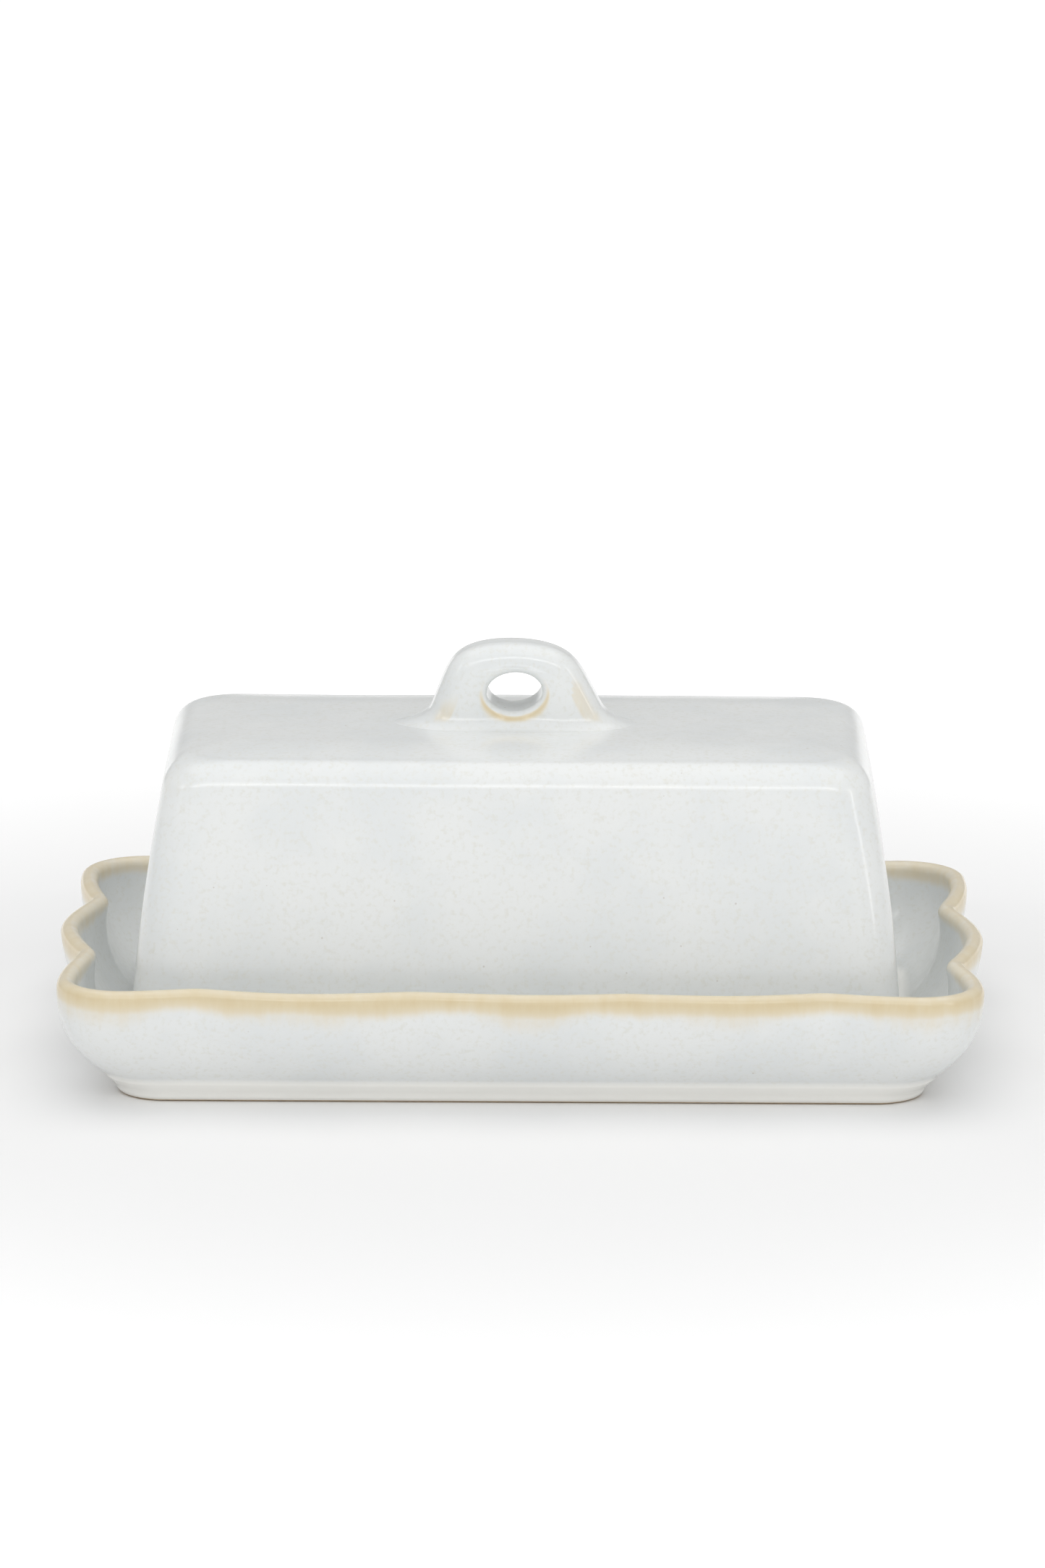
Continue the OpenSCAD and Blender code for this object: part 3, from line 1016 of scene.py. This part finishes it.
@dataclass
class PiercedPull:
    """The pull: an arched lug with a finger eye, luted to the roof by a flared foot."""

    node: str = "lid_handle"
    length: float = 42.5
    taper: float = 17.6
    thick: float = 13.7
    edge: float = 4.9
    flare: float = 4.2
    tail_left: float = 10.0
    tail_right: float = 7.0
    eye_width: float = 12.6
    eye_height: float = 9.0
    eye_rise: float = 8.3
    eye_shift: float = -0.2
    eye_tilt: float = 9.0
    lip: float = 1.4
    lean: float = -1.5
    top_power: float = 9.0
    buried: float = 6.0
    sunk: float = 0.4
    dip: float = 0.3
    face_crown: float = 0.35
    end_flare: float = 0.45
    press: Swell = Swell(height=0.22, wave=13, seed=5.0)
    press_rise: tuple[float, float] = (0.5, 5.0)
    press_ways: tuple[float, float, float] = (0.6, 0.9, 0.4)
    lip_turn: float = 0.1
    lip_below: tuple[float, float] = (0.45, -0.5)
    lip_run: tuple[float, float] = (0.3, 0.95)
    lip_fade: tuple[float, float] = (0.13, 0.02)
    lip_honey: tuple[float, float] = (0.16, 0.80)
    edge_run: tuple[float, float] = (0.82, 1.0)
    edge_inset: float = 0.6
    edge_tops: tuple[float, float] = (11.0, 16.5)
    edge_fade: float = 8.0
    edge_foot: tuple[float, float] = (0.6, 2.5)
    edge_honey: float = 0.42
    flare_cuts: int = 9
    searches: int = 28
    shift_x: float = -1.0
    points: int = 168

    def __post_init__(self) -> None:
        """Takes the height and the roof's level from the CAD node."""
        low, high = node_box(self.node)
        self.roof_z = low.z
        self.height = high.z - low.z
        self.half_thick = self.thick / 2

    def half_length(self, z: float) -> float:
        """Half the pull's length at a height above the roof, before its shoulders are rounded."""
        return self.length / 2 - self.taper / 2 * max(z, 0.0) / self.height

    def holds(self, x: float, z: float, inset: float) -> bool:
        """Says whether a point lies within the arch, made smaller all round by an inset.

        Args:
            x: The point's place along the pull.
            z: Its height above the roof.
            inset: How far the arch is drawn in.

        Returns:
            True within the smaller arch.
        """
        v = max(z, 0.0) / (self.height - inset)
        if v >= 1 or z < -self.buried:
            return False
        half = (self.half_length(z) - inset) * math.sqrt(1 - v ** self.top_power)
        return abs(x) < half

    def reach(self, angle: float, inset: float) -> float:
        """The distance from the eye's middle to the arch, in one direction.

        Args:
            angle: The direction, anticlockwise from +X as seen from the front.
            inset: How far the arch is drawn in.

        Returns:
            The distance in millimetres.
        """
        low, high = 0.0, self.length
        for _ in range(self.searches):
            middle = (low + high) / 2
            inside = self.holds(self.eye_shift + middle * math.cos(angle),
                                self.eye_rise + middle * math.sin(angle), inset)
            low, high = (middle, high) if inside else (low, middle)
        return low

    def eye_reach(self, angle: float, lip: float) -> float:
        """The eye's radius in one direction, opened out by a share of its lip."""
        a, b = self.eye_width / 2 + lip, self.eye_height / 2 + lip
        turn = angle - math.radians(self.eye_tilt)
        return a * b / math.hypot(b * math.cos(turn), a * math.sin(turn))

    def stations(self) -> list[Station]:
        """Returns the front half of the section, from the eye's middle to the edge's middle."""
        face, lip, edge = self.half_thick, self.lip, self.edge
        found = [Station(0.0, 0.0, edge, t * (face - lip)) for t in shares(5)[:-1]]
        for angle in turns(0, 90, 6):
            found.append(Station(0.0, lip * (1 - math.cos(angle)), edge,
                                 face - lip + lip * math.sin(angle)))
        for t in shares(12)[1:]:
            found.append(Station(t, lip, edge, face - self.face_crown * t * t))
        for angle in turns(0, 90, 9)[1:]:
            rolled = (edge - self.face_crown) * (1 - math.cos(angle))
            found.append(Station(1.0, lip, edge * (1 - math.sin(angle)),
                                 face - self.face_crown - rolled))
        found += [Station(1.0, lip, 0.0, (face - edge) * (1 - t)) for t in shares(4)[1:-1]]
        return found

    def ring(self, station: Station, side: int) -> list[Spot]:
        """One ring of the pull, seen from the front as a loop between the eye and the arch.

        Args:
            station: Its place in the section.
            side: -1 in front of the pull's middle and 1 behind it.

        Returns:
            The ring's points.
        """
        spots = []
        for number in range(self.points):
            angle = 2 * math.pi * number / self.points
            radius = mix(self.eye_reach(angle, station.lip), self.reach(angle, station.inset),
                         station.share)
            x = self.eye_shift + radius * math.cos(angle)
            z = self.eye_rise + radius * math.sin(angle)
            honey = self.honey(station, angle, x, z)
            spots.append(Spot(Vector((x, side * station.depth, z)), honey))
        return spots

    def settled(self, raw: Vector) -> Vector:
        """Flares the foot out onto the roof, leans the arch over and lifts it into place.

        Args:
            raw: A point of the plain arch: along it, through it, and above the roof.

        Returns:
            The place on the lid.
        """
        x, y, z = raw
        low = 1 - min(1.0, max(0.0, z / self.flare))
        spread = 1 - math.sqrt(1 - low * low)
        side_x, side_y = x / self.half_length(z), y / self.half_thick
        tail = mix(self.flare, self.tail_left if x < 0 else self.tail_right,
                   max(0.0, 1 - side_y * side_y) ** 2)
        wide = x + tail * spread * side_x * abs(side_x)
        deep = y + self.flare * spread * side_y * (1 - self.end_flare * side_x * side_x)
        lean = self.lean * max(z, 0.0) / self.height
        place = Vector((wide + lean + self.shift_x, deep, z + self.roof_z - self.dip * spread))
        swell = self.press.at(place) * ease(*self.press_rise, z)
        return place + Vector([way * swell for way in self.press_ways])

    def honey(self, station: Station, angle: float, x: float, z: float) -> float:
        """How thin the glaze is: on the lower half of the eye's lip and down the side edges.

        Args:
            station: The station of the point.
            angle: Its direction from the eye's middle.
            x: Along the pull.
            z: Height above the roof.

        Returns:
            0 for thick white glaze to 1 for a full honey break.
        """
        share = station.share
        below = ease(*self.lip_below, math.sin(angle - self.lip_turn))
        on_lip = ease(*self.lip_run, station.lip / self.lip) * ease(*self.lip_fade, share)
        on_lip *= mix(*self.lip_honey, below)
        rolled = ease(*self.edge_run, share) * ease(0.0, self.edge_inset * self.edge,
                                                    station.inset)
        top = self.edge_tops[x > 0]
        on_edge = rolled * ease(top, top - self.edge_fade, z) * ease(*self.edge_foot, z)
        return max(on_lip, on_edge * self.edge_honey if abs(x) > self.eye_width else 0.0)

    def build(self) -> Skin:
        """Draws the pull round its eye, and cuts it off level just under the roof.

        Returns:
            The closed skin.
        """
        front = self.stations()
        rings = [(station, -1) for station in front] + [(Station(1.0, self.lip, 0.0, 0.0), 1)]
        rings += [(station, 1) for station in reversed(front[1:])]
        skin = Skin(self.ring(*rings[0]))
        for ring in rings[1:]:
            skin.grow(self.ring(*ring))
        skin.grow(self.ring(*rings[0]))
        mesh = skin.mesh
        bmesh.ops.remove_doubles(mesh, verts=mesh.verts, dist=WELD)
        for t in shares(self.flare_cuts)[:-1]:
            bmesh.ops.bisect_plane(mesh, geom=[*mesh.verts, *mesh.edges, *mesh.faces],
                                   plane_co=Vector((0, 0, self.flare * t * t)),
                                   plane_no=Vector((0, 0, 1)))
        bmesh.ops.bisect_plane(mesh, geom=[*mesh.verts, *mesh.edges, *mesh.faces],
                               plane_co=Vector((0, 0, -self.sunk)),
                               plane_no=Vector((0, 0, -1)), clear_outer=True)
        skin.cap_all()
        for vert in mesh.verts:
            vert.co = self.settled(vert.co)
        return skin


# ---------------------------------------------------------------- the studio


def direction(azimuth: float, elevation: float) -> Vector:
    """Returns the direction from the dish to a light or camera; 0, 0 is straight in front."""
    turn, lift = math.radians(azimuth), math.radians(elevation)
    return Vector((math.sin(turn) * math.cos(lift), -math.cos(turn) * math.cos(lift),
                   math.sin(lift)))


@dataclass(frozen=True)
class Softbox:
    """A soft rectangular light that faces the dish. Angles in degrees, sizes in metres."""

    name: str
    azimuth: float
    elevation: float
    distance: float
    width: float
    height: float
    watts: float

    def hang(self, target: Vector) -> bpy.types.Object:
        """Hangs the light.

        Args:
            target: The point that it faces.

        Returns:
            The light's object.
        """
        light = bpy.data.lights.new(self.name, "AREA")
        light.shape = "RECTANGLE"
        light.size = self.width
        light.size_y = self.height
        light.energy = self.watts
        away = direction(self.azimuth, self.elevation)
        lamp = bpy.data.objects.new(self.name, light)
        lamp.location = target + self.distance * away
        lamp.rotation_euler = away.to_track_quat("Z", "Y").to_euler()
        bpy.context.scene.collection.objects.link(lamp)
        return lamp


@dataclass
class Studio:
    """A plain white sweep, a few softboxes and the camera."""

    floor_size: float = 14.0
    floor_colour: str = "#F6F6F6"
    floor_glow: float = 0.42
    glow_start: float = 0.08
    glow_end: float = 0.5
    sky_colour: str = "#FFFFFF"
    sky_strength: float = 0.46
    view_azimuth: float = 0.35
    view_elevation: float = 14.0
    view_distance: float = 1.96
    view_lift: float = 0.684
    view_roll: float = 0.2
    lens: float = 197.7
    sensor: float = 36.0
    aim: Vector = Vector((0, -1.7 * MM, 37.24 * MM))
    lights: tuple[Softbox, ...] = (
        Softbox("key_softbox", -2, 37, 2.4, 2.6, 0.55, 4),
        Softbox("edge_strip", -2, 37, 2.3, 2.6, 0.09, 6.5),
        Softbox("high_softbox", 0, 62, 2.4, 2.2, 0.6, 4),
        Softbox("front_softbox", 0, 8, 2.4, 2.0, 0.7, 1.8),
        Softbox("ceiling_softbox", 180, 82, 2.6, 3.0, 2.4, 25),
        Softbox("left_strip", -62, 30, 2.2, 0.1, 0.9, 2.4),
        Softbox("right_strip", 58, 22, 2.2, 0.12, 1.3, 3.4),
    )

    def lay_floor(self) -> bpy.types.Object:
        """Lays the floor: matt white paper with a painted glow that grows away from the dish, so the
        floor near the dish stays darker as painted shade.
        """
        mesh = bmesh.new()
        bmesh.ops.create_grid(mesh, x_segments=8, y_segments=8, size=self.floor_size / 2)
        data = bpy.data.meshes.new("paper_sweep")
        mesh.to_mesh(data)
        mesh.free()
        paper = bpy.data.materials.new("white_paper_painted_glow")
        paper.use_nodes = True
        shader = paper.node_tree.nodes["Principled BSDF"]
        shader.inputs["Base Color"].default_value = linear(self.floor_colour)
        shader.inputs["Roughness"].default_value = 1.0
        shader.inputs["Specular IOR Level"].default_value = 0.0
        shader.inputs["Emission Color"].default_value = linear(self.floor_colour)
        # Painted glow: the emission rises with distance from the dish, leaving the floor near it
        # darker as painted shade.
        place = add_node(paper.node_tree, "ShaderNodeTexCoord").outputs["Object"]
        far = add_node(paper.node_tree, "ShaderNodeVectorMath", operation="LENGTH",
                       links={0: place}).outputs["Value"]
        glow = add_node(
            paper.node_tree, "ShaderNodeMapRange", links={"Value": far},
            interpolation_type="SMOOTHSTEP",
            values={"From Min": self.glow_start, "From Max": self.glow_end, "To Min": 0.0,
                    "To Max": self.floor_glow},
        ).outputs["Result"]
        paper.node_tree.links.new(glow, shader.inputs["Emission Strength"])
        data.materials.append(paper)
        floor = bpy.data.objects.new("paper_sweep", data)
        bpy.context.scene.collection.objects.link(floor)
        return floor

    def light(self) -> None:
        """Lights the dish with an even sky and the softboxes."""
        world = bpy.data.worlds.new("studio_sky")
        world.use_nodes = True
        sky = world.node_tree.nodes["Background"]
        sky.inputs["Color"].default_value = linear(self.sky_colour)
        sky.inputs["Strength"].default_value = self.sky_strength
        bpy.context.scene.world = world
        for softbox in self.lights:
            softbox.hang(self.aim)

    def set_camera(self) -> bpy.types.Object:
        """Sets up the camera, which looks down on the dish from far off.

        Returns:
            The camera's object.
        """
        camera = bpy.data.cameras.new("studio_camera")
        camera.sensor_width = self.sensor
        camera.lens = self.lens
        away = direction(self.view_azimuth, self.view_elevation)
        stand = bpy.data.objects.new("studio_camera", camera)
        pitch = math.radians(90 - self.view_elevation + self.view_lift)
        level = Euler((pitch, 0, math.radians(self.view_azimuth))).to_matrix()
        roll = Matrix.Rotation(math.radians(self.view_roll), 3, "Z")
        stand.rotation_euler = (level @ roll).to_euler()
        stand.location = self.aim + self.view_distance * away
        bpy.context.scene.collection.objects.link(stand)
        bpy.context.scene.camera = stand
        bpy.context.scene.view_settings.view_transform = "Standard"
        return stand


# ---------------------------------------------------------------- putting it together


@dataclass(frozen=True)
class Seat:
    """Where a finished piece belongs: its name, body, a slot name that is not used, and the node it
    stands for.
    """

    name: str
    body: str
    slot: str
    node: str


def seat_piece(skin: Skin, seat: Seat, glaze: StonewareGlaze) -> bpy.types.Object:
    """Finishes a piece, dresses it in its glaze and seats it on its body.

    Args:
        skin: The closed skin, in millimetres.
        seat: Where it belongs.
        glaze: Its glaze.

    Returns:
        The finished piece.
    """
    piece = finish_piece(skin.mesh, seat.name, glaze.material())
    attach(piece, seat.body)
    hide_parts(seat.node)
    LOG.info("%s: %d faces, on %s", piece.name, len(piece.data.polygons), seat.body)
    return piece


def main() -> None:
    """Builds the dish piece by piece, then the studio round it."""
    logging.basicConfig(level=logging.INFO, format="%(message)s")
    seat_piece(RuffledTray().build(), Seat("ruffled_tray", "tray", "tray_glaze", "tray"),
               StonewareGlaze("tray_glossy_stoneware_glaze", painted_foot_light_mm=6.6))
    seat_piece(BoxLid().build(), Seat("box_lid", "lid", "lid_glaze", "lid_shell"),
               StonewareGlaze("lid_glossy_stoneware_glaze"))
    seat_piece(PiercedPull().build(), Seat("pierced_pull", "lid", "pull_glaze", "lid_handle"),
               StonewareGlaze("pull_glossy_stoneware_glaze"))
    studio = Studio()
    studio.lay_floor()
    studio.light()
    studio.set_camera()


if __name__ == "__main__":
    main()
